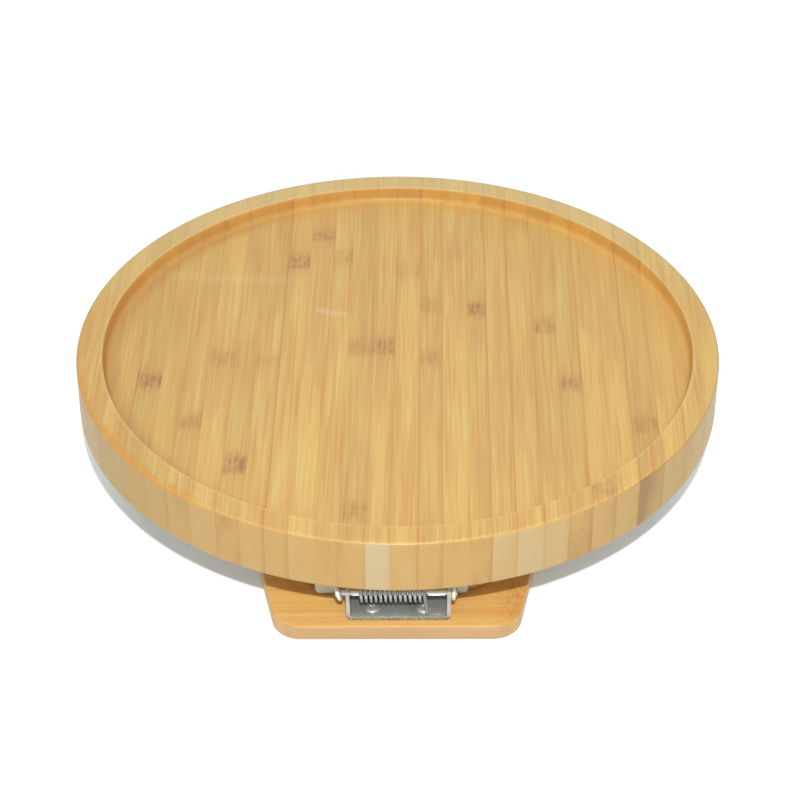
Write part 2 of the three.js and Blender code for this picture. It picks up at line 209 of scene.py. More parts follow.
def bevelled(obj, width, segments=2, angle=40):
    modifier = obj.modifiers.new("edges", "BEVEL")
    modifier.width = width
    modifier.segments = segments
    modifier.limit_method = "ANGLE"
    modifier.angle_limit = math.radians(angle)
    return settle(obj, 50)


def turned(name, profile, segments, smooth_angle=35):
    """A solid of revolution about Z; the (radius, z) profile ends on the axis or closes on itself."""
    closed = profile[0] == profile[-1]
    ring_points = profile[:-1] if closed else profile
    vertices, rings = [], []
    for radius, z in ring_points:
        if radius < 1e-9:
            rings.append([len(vertices)] * segments)
            vertices.append((0, 0, z))
            continue
        rings.append(list(range(len(vertices), len(vertices) + segments)))
        for k in range(segments):
            angle = 2 * math.pi * k / segments
            vertices.append((radius * math.cos(angle), radius * math.sin(angle), z))
    faces = []
    pairs = list(zip(rings, rings[1:]))
    if closed:
        pairs.append((rings[-1], rings[0]))
    for a, b in pairs:
        for k in range(segments):
            j = (k + 1) % segments
            corners = [a[k], a[j], b[j], b[k]]
            distinct = [v for i, v in enumerate(corners) if v != corners[i - 1]]
            if len(distinct) > 2:
                faces.append(distinct)
    return add_mesh(name, vertices, faces, smooth_angle)


def band(a, b, count):
    """Quads between two closed rings whose vertices start at a and b."""
    return [[a + k, a + (k + 1) % count, b + (k + 1) % count, b + k] for k in range(count)]


def arc(r, z, radius, start, end, steps):
    """Points of an arc about (r, z), between two angles in degrees."""
    angles = [math.radians(start + (end - start) * i / steps) for i in range(steps + 1)]
    return [(r + radius * math.cos(a), z + radius * math.sin(a)) for a in angles]


def rounded_outline(corners, steps=10):
    """A plan outline through (x, y, radius) corners, with round corners of that radius."""
    points = []
    count = len(corners)
    for i, (x, y, radius) in enumerate(corners):
        here = Vector((x, y))
        before = (Vector(corners[i - 1][:2]) - here).normalized()
        after = (Vector(corners[(i + 1) % count][:2]) - here).normalized()
        half = before.angle(after) / 2
        centre = here + (before + after).normalized() * (radius / math.sin(half))
        start = here + before * (radius / math.tan(half)) - centre
        sweep = math.pi - 2 * half
        turn = 1 if before.x * after.y - before.y * after.x < 0 else -1
        for k in range(steps + 1):
            angle = turn * sweep * k / steps
            c, s = math.cos(angle), math.sin(angle)
            points.append(centre + Vector((start.x * c - start.y * s, start.x * s + start.y * c)))
    return points


def inset(outline, distance):
    """The outline moved inwards; it runs anticlockwise."""
    moved = []
    count = len(outline)
    for i, point in enumerate(outline):
        along = (outline[(i + 1) % count] - outline[i - 1]).normalized()
        moved.append(point + Vector((-along.y, along.x)) * distance)
    return moved


def board(name, outline, z0, z1, edge, edge_steps=5):
    """A flat board with rounded edges along both faces."""
    levels = [(edge + 1.2 * MM, z0)]
    for k in range(edge_steps + 1):
        angle = math.pi / 2 * k / edge_steps
        levels.append((edge * (1 - math.sin(angle)), z0 + edge * (1 - math.cos(angle))))
    levels += [(depth, z0 + z1 - z) for depth, z in reversed(levels)]
    vertices, faces = [], []
    count = len(outline)
    for depth, z in levels:
        vertices += [(p.x, p.y, z) for p in inset(outline, depth)]
    for ring in range(len(levels) - 1):
        faces += band(ring * count, (ring + 1) * count, count)
    faces.append(list(range(count))[::-1])
    faces.append(list(range((len(levels) - 1) * count, len(levels) * count)))
    return add_mesh(name, vertices, faces, 60)


def sheet_metal(name, rows, bevel_width=0.25 * MM):
    """A bent sheet: rows of points over its middle surface, given the sheet's thickness and soft edges."""
    width = len(rows[0])
    vertices = [p for row in rows for p in row]
    faces = []
    for i in range(len(rows) - 1):
        for k in range(width - 1):
            a = i * width + k
            faces.append([a, a + 1, a + width + 1, a + width])
    obj = add_mesh(name, vertices, faces)
    modifier = obj.modifiers.new("thickness", "SOLIDIFY")
    modifier.thickness = SHEET
    modifier.offset = 0
    modifier.use_even_offset = True
    settle(obj)
    return bevelled(obj, bevel_width, 2, 60)


def standing_plate(name, outline, x0, x1):
    """A plate across X, from its outline in Y and Z."""
    count = len(outline)
    vertices = [(x0, y, z) for y, z in outline] + [(x1, y, z) for y, z in outline]
    faces = [list(range(count)), list(range(2 * count - 1, count - 1, -1)), *band(0, count, count)]
    return add_mesh(name, vertices, faces)


def bar_along_x(name, x0, x1, y, z, radius, segments=32):
    obj = turned(name, [(0, x0), (radius, x0), (radius, x1), (0, x1)], segments)
    obj.data.transform(Matrix.Translation((0, y, z)) @ Matrix.Rotation(math.pi / 2, 4, "Y"))
    return obj


def swept(name, path, radius, sides=12):
    """A round wire along a smooth path, with flat ends."""
    normal = Vector((1, 0, 0))
    vertices, faces = [], []
    count = len(path)
    for i, point in enumerate(path):
        tangent = (path[min(i + 1, count - 1)] - path[max(i - 1, 0)]).normalized()
        normal = (normal - tangent * normal.dot(tangent)).normalized()
        side = tangent.cross(normal)
        for k in range(sides):
            angle = 2 * math.pi * k / sides
            vertices.append(point + (normal * math.cos(angle) + side * math.sin(angle)) * radius)
    for i in range(count - 1):
        faces += band(i * sides, (i + 1) * sides, sides)
    faces.append(list(range(sides))[::-1])
    faces.append(list(range((count - 1) * sides, count * sides)))
    return add_mesh(name, vertices, faces, 60)


HALF_TURN = Matrix.Rotation(math.pi, 4, "Z")


def place(obj, body, slot_name, material, *nodes, end="front"):
    """Turns a rear piece half round, then hands the piece to its body, slot and CAD nodes."""
    if end == "rear":
        obj.data.transform(HALF_TURN)
    obj.data.materials.clear()
    obj.data.materials.append(material)
    if body is not None:
        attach(obj, body)
    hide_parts(*nodes)
    return obj


# ---------------------------------------------------------------- node helpers


class Nodes:
    """Short calls for building one material's node tree."""

    def __init__(self, name):
        self.material = bpy.data.materials.new(name)
        self.material.use_nodes = True
        self.tree = self.material.node_tree
        self.tree.nodes.clear()
        output = self.tree.nodes.new("ShaderNodeOutputMaterial")
        self.shader = self.tree.nodes.new("ShaderNodeBsdfPrincipled")
        self.link(self.shader.outputs[0], output.inputs["Surface"])

    def link(self, source, socket):
        self.tree.links.new(source, socket)

    def feed(self, socket, value):
        """Links an output to the socket, or sets it to a number or to a colour given as (r, g, b)."""
        if isinstance(value, bpy.types.NodeSocket):
            self.link(value, socket)
        elif socket.type == "RGBA":
            socket.default_value = (*value, 1)
        else:
            socket.default_value = value

    def add(self, kind, output, sockets=(), values=()):
        """A new node with values fed to its sockets; gives back one of its outputs."""
        node = self.tree.nodes.new("ShaderNode" + kind)
        for key, value in zip(sockets, values):
            self.feed(node.inputs[key], value)
        return node.outputs[output]

    def math(self, operation, a, b=0.0, c=0.0, clamp=False):
        node = self.tree.nodes.new("ShaderNodeMath")
        node.operation = operation
        node.use_clamp = clamp
        for socket, value in zip(node.inputs, (a, b, c)):
            self.feed(socket, value)
        return node.outputs[0]

    def times(self, product, *others):
        for other in others:
            product = self.math("MULTIPLY", product, other)
        return product

    def times_plus(self, a, b, c):
        return self.math("MULTIPLY_ADD", a, b, c)

    def plus(self, a, b):
        return self.math("ADD", a, b)

    def minus(self, a, b):
        return self.math("SUBTRACT", a, b)

    def absolute(self, a):
        return self.math("ABSOLUTE", a)

    def from_axis(self, x, y):
        """Distance from the Z axis."""
        return self.math("SQRT", self.plus(self.times(x, x), self.times(y, y)))

    def position(self):
        return self.add("TexCoord", "Object")

    def normal(self):
        """The surface normal in the piece's own axes, so a turned piece keeps its pattern."""
        return self.add("TexCoord", "Normal")

    def split(self, vector):
        node = self.tree.nodes.new("ShaderNodeSeparateXYZ")
        self.feed(node.inputs[0], vector)
        return node.outputs[0], node.outputs[1], node.outputs[2]

    def join(self, x, y, z):
        return self.add("CombineXYZ", 0, range(3), (x, y, z))

    def noise(self, vector, scale=1.0, detail=2.0, roughness=0.5, distortion=0.0):
        sockets = ("Vector", "Scale", "Detail", "Roughness", "Distortion")
        return self.add("TexNoise", "Fac", sockets, (vector, scale, detail, roughness, distortion))

    def range(self, value, from_low, from_high, to_low=0.0, to_high=1.0):
        sockets = ("Value", "From Min", "From Max", "To Min", "To Max")
        return self.add("MapRange", "Result", sockets, (value, from_low, from_high, to_low, to_high))

    def mix(self, share, a, b):
        node = self.tree.nodes.new("ShaderNodeMix")
        node.data_type = "RGBA"
        node.clamp_factor = True
        self.feed(node.inputs[0], share)
        self.feed(node.inputs[6], a)
        self.feed(node.inputs[7], b)
        return node.outputs[2]

    def scale_colour(self, colour, factor):
        """colour times a number, the same in all channels."""
        node = self.tree.nodes.new("ShaderNodeVectorMath")
        node.operation = "SCALE"
        self.feed(node.inputs[0], colour)
        self.feed(node.inputs["Scale"], factor)
        return node.outputs[0]

    def steps(self, value, stops):
        """A staircase ramp: stops are (position, (r, g, b, a))."""
        node = self.tree.nodes.new("ShaderNodeValToRGB")
        node.color_ramp.interpolation = "CONSTANT"
        elements = node.color_ramp.elements
        while len(elements) > 1:
            elements.remove(elements[-1])
        elements[0].position = stops[0][0]
        elements[0].color = stops[0][1]
        for position, colour in stops[1:]:
            elements.new(position).color = colour
        self.feed(node.inputs[0], value)
        return node.outputs["Color"], node.outputs["Alpha"]

    def steep(self, level, sheer):
        """0 on faces whose normal's upright part is over level, 1 on those under sheer."""
        return self.range(self.absolute(self.split(self.normal())[2]), level, sheer)

    def bump(self, height, strength, distance):
        node = self.tree.nodes.new("ShaderNodeBump")
        node.inputs["Strength"].default_value = strength
        node.inputs["Distance"].default_value = distance
        self.feed(node.inputs["Height"], height)
        self.link(node.outputs[0], self.shader.inputs["Normal"])

    def finish(self, colour, roughness, **constants):
        """Feeds the shader; a constant's underscores stand for the spaces in its socket's name."""
        self.feed(self.shader.inputs["Base Color"], colour)
        self.feed(self.shader.inputs["Roughness"], roughness)
        for key, value in constants.items():
            self.shader.inputs[key.replace("_", " ")].default_value = value
        return self.material


# ---------------------------------------------------------------- bamboo

NO_KNUCKLE = 200
KNUCKLE_SPAN = 0.5

# The tray's laminated strips from left to right: right edge in millimetres, tone of the face and of the
# end grain (0.5 is the mean), how dark the seam at its right edge is, how dark its culm knuckles are, and
# the places of up to two knuckles along it, if it has any.
TRAY_STRIPS = [
    (-118.5, 0.47, 0.54, 0.1, 0.0),
    (-109.6, 0.42, 0.50, 0.1, 0.0),
    (-100.7, 0.46, 0.55, 0.1, 0.0),
    (-91.7, 0.30, 0.46, 0.1, 0.9, -19),
    (-82.5, 0.40, 0.54, 0.3, 0.0),
    (-73.3, 0.46, 0.47, 0.2, 0.55, -46),
    (-64.4, 0.54, 0.56, 0.3, 0.5, -4),
    (-55.6, 0.42, 0.43, 0.2, 1.0, -72),
    (-46.3, 0.50, 0.56, 0.9, 0.25, -6),
    (-37.5, 0.52, 0.46, 0.2, 1.0, 65),
    (-28.3, 0.56, 0.58, 0.3, 0.6, 87),
    (-19.7, 0.55, 0.53, 0.2, 0.5, 68),
    (-10.2, 0.46, 0.44, 0.3, 0.55, -98, 4),
    (-1.7, 0.53, 0.96, 0.4, 0.9, 5),
    (7.9, 0.58, 0.55, 0.7, 0.3, 59),
    (17.5, 0.49, 0.45, 0.3, 0.45, -3, 34),
    (26.4, 0.57, 0.53, 0.1, 0.15, 72),
    (35.0, 0.47, 0.44, 0.6, 0.8, 32),
    (43.7, 0.53, 0.74, 0.8, 0.0),
    (52.8, 0.50, 0.84, 0.6, 0.3, 96),
    (61.9, 0.47, 0.68, 0.3, 0.7, 20),
    (70.5, 0.42, 0.40, 0.5, 0.6, -19),
    (79.5, 0.53, 0.52, 0.3, 0.45, -93),
    (88.8, 0.57, 0.58, 0.9, 0.0),
    (97.7, 0.42, 0.10, 0.3, 0.6, -46),
    (106.5, 0.55, 0.58, 0.4, 0.15, 40),
    (115.5, 0.50, 0.38, 0.3, 0.0),
    (125.0, 0.52, 0.46, 0.1, 0.0),
]
# Faint pale marks on the tray's floor, partly scratches and partly painted sheen: start x and y, direction,
# length, half-width and strength.
SCRATCHES_AND_SHEEN = [(-0.034, 0.030, -0.28, 0.015, 0.0032, 0.24), (-0.100, 0.054, -0.05, 0.060, 0.0050, 0.10)]
SEAM_WIDTH = 0.0005


def strip_stops(strips, width):
    """Two staircase ramps over a board's width.

    The first holds each strip's tones and knuckle places, the second its seam, tint, parity and
    knuckle depth.
    """
    tones, seams, left = [], [], 0.0
    draw = random.Random(len(strips))
    for k, (edge, tone, end_tone, seam, depth, *knuckles) in enumerate(strips):
        a, b, *_ = [spot * MM / KNUCKLE_SPAN + 0.5 for spot in (*knuckles, NO_KNUCKLE, NO_KNUCKLE)]
        tones.append((left, (tone, a, b, end_tone)))
        seams.append((left, (seam, draw.random(), float(k % 2), depth)))
        left = (edge * MM + width / 2) / width
    return tones, seams


def random_strips(seed, width, strip, knuckles):
    """Even strips with random tones, for a board that mostly lies in the tray's shade."""
    draw = random.Random(seed)
    count = round(width / strip)
    strips = []
    for k in range(count):
        edge = ((k + 1) / count - 0.5) * width / MM
        tone, end_tone, seam = draw.uniform(0.42, 0.6), draw.uniform(0.4, 0.62), draw.uniform(0.1, 0.5)
        strips.append((edge, tone, end_tone, seam, 0.6, draw.choice(knuckles)))
    return strips


class Bamboo(Nodes):
    """Laminated bamboo. across and along are axis numbers of the boards' strips and of their fibres."""

    def __init__(self, name, across, along, width, strips):
        super().__init__(name)
        axes = self.split(self.position())
        self.u, self.v, self.z = axes[across], axes[along], axes[2]
        self.x, self.y = axes[0], axes[1]
        normals = self.split(self.normal())
        self.end_share = self.range(self.absolute(normals[along]), 0.45, 0.80)
        self.upright = self.range(self.absolute(normals[2]), 0.75, 0.35)
        tones, seams = strip_stops(strips, width)

        def place_across(offset):
            return self.math("MULTIPLY", self.plus(self.u, width / 2 + offset), 1 / width, clamp=True)

        colours, self.end_tone = self.steps(place_across(0.0), tones)
        self.tone, self.knuckle_a, self.knuckle_b = self.split(colours)
        values, self.knuckle_depth = self.steps(place_across(-SEAM_WIDTH / 2), seams)
        before, self.tint, parity = self.split(values)

        def near_right_edge(reach):
            ahead = self.split(self.steps(place_across(reach - SEAM_WIDTH / 2), seams)[0])[2]
            return self.absolute(self.minus(parity, ahead))

        self.seam = self.times(near_right_edge(SEAM_WIDTH), before)
        self.beside_seam = self.plus(near_right_edge(0.0009), near_right_edge(0.0017))
        self.beside_seam = self.times(self.beside_seam, self.times_plus(before, 0.4, 0.1))
        # a strip's own shift keeps its fibres from running on into its neighbour
        self.shift = self.plus(self.times(self.tone, 37.0), self.times(self.tint, 71.0))

    def streaks(self, across_scale, along_scale, depth_scale, extra=0.0, detail=2.0):
        u = self.times(self.u, across_scale)
        v = self.times_plus(self.v, along_scale, self.plus(self.shift, extra))
        return self.noise(self.join(u, v, self.times(self.z, depth_scale)), 1.0, detail, 0.55)

    def grain(self, face, tan, pale, streak):
        """Long streaks in loose clusters: tan zones, pale and orange fibres, and a fine value noise."""
        broad = self.streaks(170, 13, 60, 3.0)
        colour = self.mix(self.range(broad, 0.40, 0.60), tan, face)
        clusters = self.streaks(210, 15, 80, 51.0, 1.0)
        yellow = self.streaks(1150, 19, 260, 11.0)
        yellow_share = self.times(self.range(yellow, 0.50, 0.64), self.range(clusters, 0.36, 0.56, 0.2, 1.0))
        colour = self.mix(self.times(yellow_share, 0.72), colour, pale)
        orange = self.streaks(1250, 17, 420, 23.0, 1.0)
        orange_share = self.times(self.range(orange, 0.54, 0.66), self.range(clusters, 0.62, 0.44, 0.25, 1.0))
        orange_share = self.plus(orange_share, self.times(self.beside_seam, 0.8))
        colour = self.mix(self.times(orange_share, 0.66), colour, streak)
        fine = self.streaks(2600, 36, 2600, 31.0)
        value = self.times_plus(self.tone, 0.55, 0.725)
        value = self.plus(value, self.times(self.minus(fine, 0.5), 0.18))
        self.fine, self.medium = fine, yellow
        return self.scale_colour(colour, value)

    def darker_seams(self, colour, brown):
        fade = self.range(self.streaks(0, 16, 0, 5.0), 0.35, 0.6, 0.25, 1.0)
        return self.mix(self.times(self.seam, fade, 0.55), colour, brown)

    def knuckles(self, colour, brown, length=0.0072):
        """Bands across single strips: dashes of uneven length along the fibres, over a soft stain."""
        dashes = self.noise(self.join(
            self.times(self.u, 2300), self.times(self.v, 45), self.shift), 1.0, 2.0, 0.6)
        blotches = self.range(self.noise(self.position(), 280, 1.0), 0.36, 0.58, 0.35, 1.0)
        dashes = self.times(self.range(dashes, 0.42, 0.60, 0.15, 1.0), blotches)

        def ragged(extra):
            across = self.times(self.u, 1700)
            place_there = self.join(across, self.plus(self.shift, extra), 0.0)
            return self.times(self.minus(self.noise(place_there, 1.0, 1.0), 0.5), 0.009)

        upper, lower = ragged(0.0), ragged(9.0)
        level = self.minus(1.0, self.upright)
        for spot in (self.knuckle_a, self.knuckle_b):
            centre = self.times(self.minus(spot, 0.5), KNUCKLE_SPAN)
            away = self.minus(self.v, centre)
            stain = self.range(self.absolute(away), 2.0 * length, 0.3 * length)
            top = self.range(self.plus(away, upper), length, 0.2 * length)
            bottom = self.range(self.plus(away, lower), -length, -0.5 * length)
            marks = self.times_plus(stain, 0.19, self.times(top, bottom, dashes, 1.05))
            colour = self.mix(self.times(marks, self.knuckle_depth, level), colour, brown)
        return colour

    def end_grain(self, colour, face, pale, brown, strength):
        """Cut ends: a tone for each strip, soft upright shading and a faint speckle of fibre bundles."""
        shading = self.streaks(130, 3, 35, 41.0)
        bundles = self.noise(self.join(
            self.times(self.u, 1500), self.times(self.v, 90),
            self.times(self.z, 900)), 1.0, 1.0)
        value = self.plus(self.end_tone, self.times(self.minus(shading, 0.5), 0.50))
        value = self.minus(value, self.times(self.beside_seam, 0.16))
        value = self.plus(value, self.times(self.minus(bundles, 0.5), 0.14))
        cut = self.mix(self.range(value, 0.14, 0.48), brown, face)
        cut = self.mix(self.range(value, 0.55, 0.95), cut, pale)
        cut = self.mix(self.times(self.seam, 0.18), cut, brown)
        return self.mix(self.times(self.end_share, strength), colour, cut)

    def surface(self, colour, gloss, coat):
        roughness = self.range(self.medium, 0.3, 0.7, gloss - 0.05, gloss + 0.07)
        ridges = self.plus(self.times(self.fine, 0.5), self.times(self.medium, 0.5))
        self.bump(ridges, 0.18, 0.00010)
        return self.finish(colour, roughness, Coat_Weight=coat, Coat_Roughness=0.28, Specular_IOR_Level=0.38)


# ---------------------------------------------------------------- the tray's marks, laid over its bamboo


class TrayBamboo(Bamboo):
    def __init__(self):
        super().__init__("tray_bamboo", 0, 1, 2 * TRAY_RADIUS, TRAY_STRIPS)
        self.brown = (0.375, 0.165, 0.068)
        self.radius = self.from_axis(self.x, self.y)
        self.border = self.range(self.radius, FLOOR_RADIUS - 5 * MM, FLOOR_RADIUS)
        self.near_wall = self.range(self.radius, FLOOR_RADIUS - 0.5 * MM, FLOOR_RADIUS + 1.0 * MM)
        self.outside = self.range(self.radius, RIM_INNER_RADIUS + 2 * MM, RIM_INNER_RADIUS + 4 * MM)
        self.inside = self.minus(1.0, self.outside)


def varnish(n, colour):
    """Varnish gathered towards the right of the floor and along its back."""
    pooled = n.times(n.range(n.x, 0.02, 0.08), n.range(n.y, -0.03, 0.02))
    pooled = n.times(n.range(n.radius, 0.080, 0.108), n.times_plus(pooled, 0.34, 0.08))
    along_back = n.times(n.border, n.range(n.y, 0.0, 0.05))
    pooled = n.math("MAXIMUM", pooled, n.times(along_back, 0.45))
    pooled = n.times(pooled, n.range(n.z, TRAY_FLOOR + 3 * MM, TRAY_FLOOR + 2 * MM))
    return n.mix(pooled, colour, (0.625, 0.355, 0.088))


def cove(n, colour):
    """The cove between floor and rim is a deeper orange; painted light makes it brightest at the right and
    lightens its far left.
    """
    above_floor = n.range(n.z, TRAY_FLOOR, TRAY_FLOOR + 0.9 * MM)
    below_top = n.range(n.z, TRAY_TOP, TRAY_TOP - 0.5 * MM)
    share = n.times(above_floor, n.near_wall, n.inside, below_top, 0.85)
    streaks = n.range(n.streaks(120, 4, 40, 7.0), 0.35, 0.65)
    tone = n.mix(streaks, (0.455, 0.220, 0.044), (0.530, 0.285, 0.062))
    # painted light: the cove's tone is lightened towards the right and at the far left
    painted_light_at_right = n.range(n.x, 0.06, 0.11, 1.06, 1.30)
    painted_shading_at_left = n.range(n.x, -0.070, -0.105, 0.0, 0.20)
    tone = n.scale_colour(tone, n.times_plus(n.tint, 0.14, n.plus(painted_light_at_right, painted_shading_at_left)))
    any_seam = n.math("MAXIMUM", n.seam, n.beside_seam)
    tone = n.mix(n.times(any_seam, 0.28), tone, (0.33, 0.140, 0.030))
    return n.mix(share, colour, tone)


def rim(n, colour):
    """Painted sheen pales the rim at the back, painted shade darkens the floor's left border, and the rim is
    paler at its inner edge.
    """
    on_rim = n.range(n.radius, RIM_INNER_RADIUS, RIM_INNER_RADIUS + 1 * MM)
    # painted sheen: the back of the rim is paled, unevenly with the grain
    painted_sheen_at_back = n.times(on_rim, n.range(n.y, 0.02, 0.09), n.range(n.medium, 0.36, 0.62, 0.72, 0.34))
    colour = n.mix(painted_sheen_at_back, colour, (0.640, 0.512, 0.240))
    # painted shade: the floor's border is darkened beside the wall on the left
    painted_shading_at_left = n.times(n.border, n.range(n.z, TRAY_TOP, TRAY_FLOOR), n.range(n.x, -0.03, -0.07), 0.35)
    colour = n.mix(painted_shading_at_left, colour, n.brown)
    # a paler band along the rim's inner top edge
    paler_inner_edge = n.range(n.radius, RIM_INNER_RADIUS + 1.6 * MM, RIM_INNER_RADIUS + 0.2 * MM)
    paler_inner_edge = n.times(paler_inner_edge, n.range(n.z, TRAY_TOP - 1.2 * MM, TRAY_TOP - 0.3 * MM))
    return n.mix(n.times(paler_inner_edge, 0.35), colour, (0.72, 0.53, 0.24))


def scratches_and_sheen(n, colour):
    """Faint pale straight marks on the floor, partly scratches and partly painted sheen."""
    wander = n.times(n.minus(n.noise(n.position(), 60, 1.0), 0.5), 0.004)
    total = 0.0
    for x, y, turn, length, width, strength in SCRATCHES_AND_SHEEN:
        across, along = n.minus(n.x, x), n.minus(n.y, y)
        cosine, sine = math.cos(turn), math.sin(turn)
        way = n.times_plus(across, cosine, n.times(along, sine))
        off = n.times_plus(across, -sine, n.times(along, cosine))
        off = n.absolute(n.plus(off, wander))
        ends = n.times(n.range(way, 0.0, 0.15 * length), n.range(way, length, 0.85 * length))
        total = n.plus(total, n.times(ends, n.range(off, width, 0.0, 0.0, strength)))
    return n.mix(total, colour, (0.80, 0.68, 0.44))


def sawn_wall(n, colour):
    """The sawn ends; the brown strip fades to its right, and the outermost strips are a deeper olive."""
    fading = n.times(n.range(n.end_tone, 0.20, 0.12), n.range(n.u, 0.0905, 0.0975, 0.0, 0.40))
    n.end_tone = n.plus(n.end_tone, fading)
    wall = n.times(n.outside, n.steep(0.90, 0.45))
    n.end_share = n.times(wall, n.range(n.end_share, 0.0, 0.2, 0.75, 1.0))
    towards_side = n.range(n.absolute(n.u), 0.070, 0.122)
    face = n.mix(towards_side, (0.470, 0.280, 0.084), (0.378, 0.228, 0.034))
    return n.end_grain(colour, face, (0.470, 0.355, 0.184), (0.275, 0.135, 0.037), 0.95)


def underside(n, colour):
    """Bare, paler wood."""
    below = n.range(n.z, TRAY_BOTTOM + 0.4 * MM, TRAY_BOTTOM)
    return n.mix(n.times(below, n.minus(1.0, n.end_share), 0.6), colour, (0.70, 0.57, 0.38))


def rubbed_edge(n, colour):
    """The outer top edge is rubbed to orange along the left front, and hardly at all elsewhere."""
    ragged = n.times(n.minus(n.noise(n.position(), 190, 3.0, 0.6), 0.5), 0.0052)
    frayed = n.times(n.minus(n.streaks(800, 45, 300, 61.0), 0.5), 0.0075)
    reach = n.plus(n.radius, n.plus(ragged, frayed))
    edge = n.range(reach, TRAY_RADIUS - 3.0 * MM, TRAY_RADIUS - 0.8 * MM)
    edge = n.times(n.range(n.z, TRAY_TOP - 1.5 * MM, TRAY_TOP - 0.5 * MM), edge)
    left_front = n.times(n.range(n.x, -0.066, -0.076), n.range(n.y, 0.0, -0.02))
    edge = n.times(edge, n.times_plus(left_front, 0.70, 0.06))
    return n.mix(edge, colour, (0.58, 0.270, 0.045))


def tray_bamboo():
    n = TrayBamboo()
    colour = n.grain(
        face=(0.640, 0.412, 0.128), tan=(0.585, 0.348, 0.116), pale=(0.660, 0.490, 0.165),
        streak=(0.560, 0.270, 0.070),
    )
    colour = n.knuckles(n.darker_seams(colour, n.brown), n.brown)
    for lay in (varnish, cove, rim, scratches_and_sheen, sawn_wall, underside, rubbed_edge):
        colour = lay(n, colour)
    material = n.surface(colour, 0.46, 0.14)
    # the cutter left the wall inside the rim matt
    n.feed(n.shader.inputs["Coat Weight"], n.range(n.times(n.near_wall, n.inside), 0.0, 0.6, 0.14, 0.02))
    return material


def wing_bamboo():
    width = 0.26
    strips = random_strips(11, width, 0.0125, [NO_KNUCKLE, 40, -30, NO_KNUCKLE])
    front = [(edge, tone, end, seam, 0.2, 45) for edge, tone, end, seam, *_ in strips[:3]]
    n = Bamboo("wing_bamboo", 1, 0, width, front + strips[3:])
    brown = (0.52, 0.22, 0.05)
    colour = n.grain(
        face=(0.725, 0.425, 0.126), tan=(0.680, 0.380, 0.115), pale=(0.745, 0.470, 0.155),
        streak=(0.660, 0.325, 0.078),
    )
    colour = n.knuckles(n.darker_seams(colour, (0.60, 0.27, 0.06)), brown, 0.0060)

    # curled grain round the knuckle at the lever's right corner
    around_knuckle = n.times(n.range(n.x, 0.034, 0.041), n.range(n.y, -0.088, -0.096))
    swirl = n.noise(n.join(n.times(n.x, 640), n.times(n.y, 300), 0.0), 1.0, 0.0, 0.5, 0.3)
    swirl = n.range(n.absolute(n.minus(swirl, 0.55)), 0.12, 0.0)
    colour = n.mix(n.times(n.times_plus(swirl, 0.56, 0.16), around_knuckle), colour, brown)

    flank = n.times(n.steep(0.98, 0.65), n.minus(1.0, n.end_share), 0.8)
    flank_tone = n.scale_colour((0.445, 0.275, 0.130), n.range(n.medium, 0.3, 0.7, 0.92, 1.08))
    colour = n.mix(flank, colour, flank_tone)
    colour = n.end_grain(colour, (0.56, 0.33, 0.12), (0.62, 0.45, 0.22), (0.42, 0.21, 0.07), 0.8)
    return n.surface(colour, 0.50, 0.10)


def base_bamboo():
    width = 0.08
    n = Bamboo("base_bamboo", 0, 1, width, random_strips(5, width, 0.0095, [NO_KNUCKLE, 60, -50, 0]))
    brown = (0.38, 0.185, 0.070)
    colour = n.grain(
        face=(0.600, 0.375, 0.130), tan=(0.540, 0.325, 0.120), pale=(0.640, 0.470, 0.165),
        streak=(0.540, 0.270, 0.070),
    )
    colour = n.knuckles(n.darker_seams(colour, brown), brown)
    colour = n.end_grain(colour, (0.52, 0.32, 0.12), (0.56, 0.44, 0.23), (0.40, 0.23, 0.10), 0.9)
    return n.surface(colour, 0.52, 0.10)


TRAY_BAMBOO = tray_bamboo()
WING_BAMBOO = wing_bamboo()
BASE_BAMBOO = base_bamboo()


# ---------------------------------------------------------------- metals and plastic


def plated(name, colour, dull, roughness, pitted, rolled, metallic=1.0,
           sheared_below=None, painted_light_beyond=None):
    """Plated steel: cloudy tone, rolling marks along X and fine pits.

    Sheared edges below a height stay rough, and plating beyond a distance along Y is painted brighter, as
    painted light.
    """
    n = Nodes(name)
    x, y, z = n.split(n.position())
    cloud = n.noise(n.position(), 160, 3.0, 0.6)
    marks = n.noise(n.join(n.times(x, 60), n.times(y, 3800), n.times(z, 3800)), 1.0, 2.0)
    pits = n.noise(n.position(), 2600, 2.0, 0.7)
    tint = n.mix(n.range(cloud, 0.35, 0.7), colour, dull)
    tint = n.mix(n.times(n.range(pits, 0.62, 0.8), 0.35), tint, dull)
    roughness = n.range(cloud, 0.3, 0.75, *roughness)
    height = n.plus(n.times(marks, rolled), n.times(pits, pitted))
    if sheared_below is not None:
        facing = n.range(n.absolute(n.split(n.normal())[1]), 0.6, 0.85)
        sheared = n.times(facing, n.range(z, sheared_below, sheared_below - 0.2 * MM))
        torn = n.noise(n.position(), 1500, 3.0, 0.7)
        rough_tone = n.mix(n.range(torn, 0.52, 0.62), (0.27, 0.26, 0.24), (0.78, 0.77, 0.74))
        tint = n.mix(n.times(facing, 0.7), tint, (0.47, 0.42, 0.34))
        tint = n.mix(sheared, tint, rough_tone)
        roughness = n.times_plus(facing, 0.25, roughness)
        height = n.plus(height, n.times(torn, sheared, 3.0))
    if painted_light_beyond is not None:
        # painted light: plating that stands out in front of the tray's shade is lightened
        outer = n.range(n.absolute(y), painted_light_beyond, painted_light_beyond + 0.4 * MM)
        tint = n.mix(outer, tint, n.mix(cloud, (0.86, 0.85, 0.80), (0.74, 0.73, 0.69)))
    n.bump(height, 0.3, 0.00006)
    return n.finish(tint, roughness, Metallic=metallic)


NICKEL = plated(
    "nickel_plate", (0.50, 0.51, 0.49), (0.38, 0.38, 0.36), (0.26, 0.40), 0.5, 0.6, metallic=0.62,
    sheared_below=low("front_wing_bracket").z + SHEET)
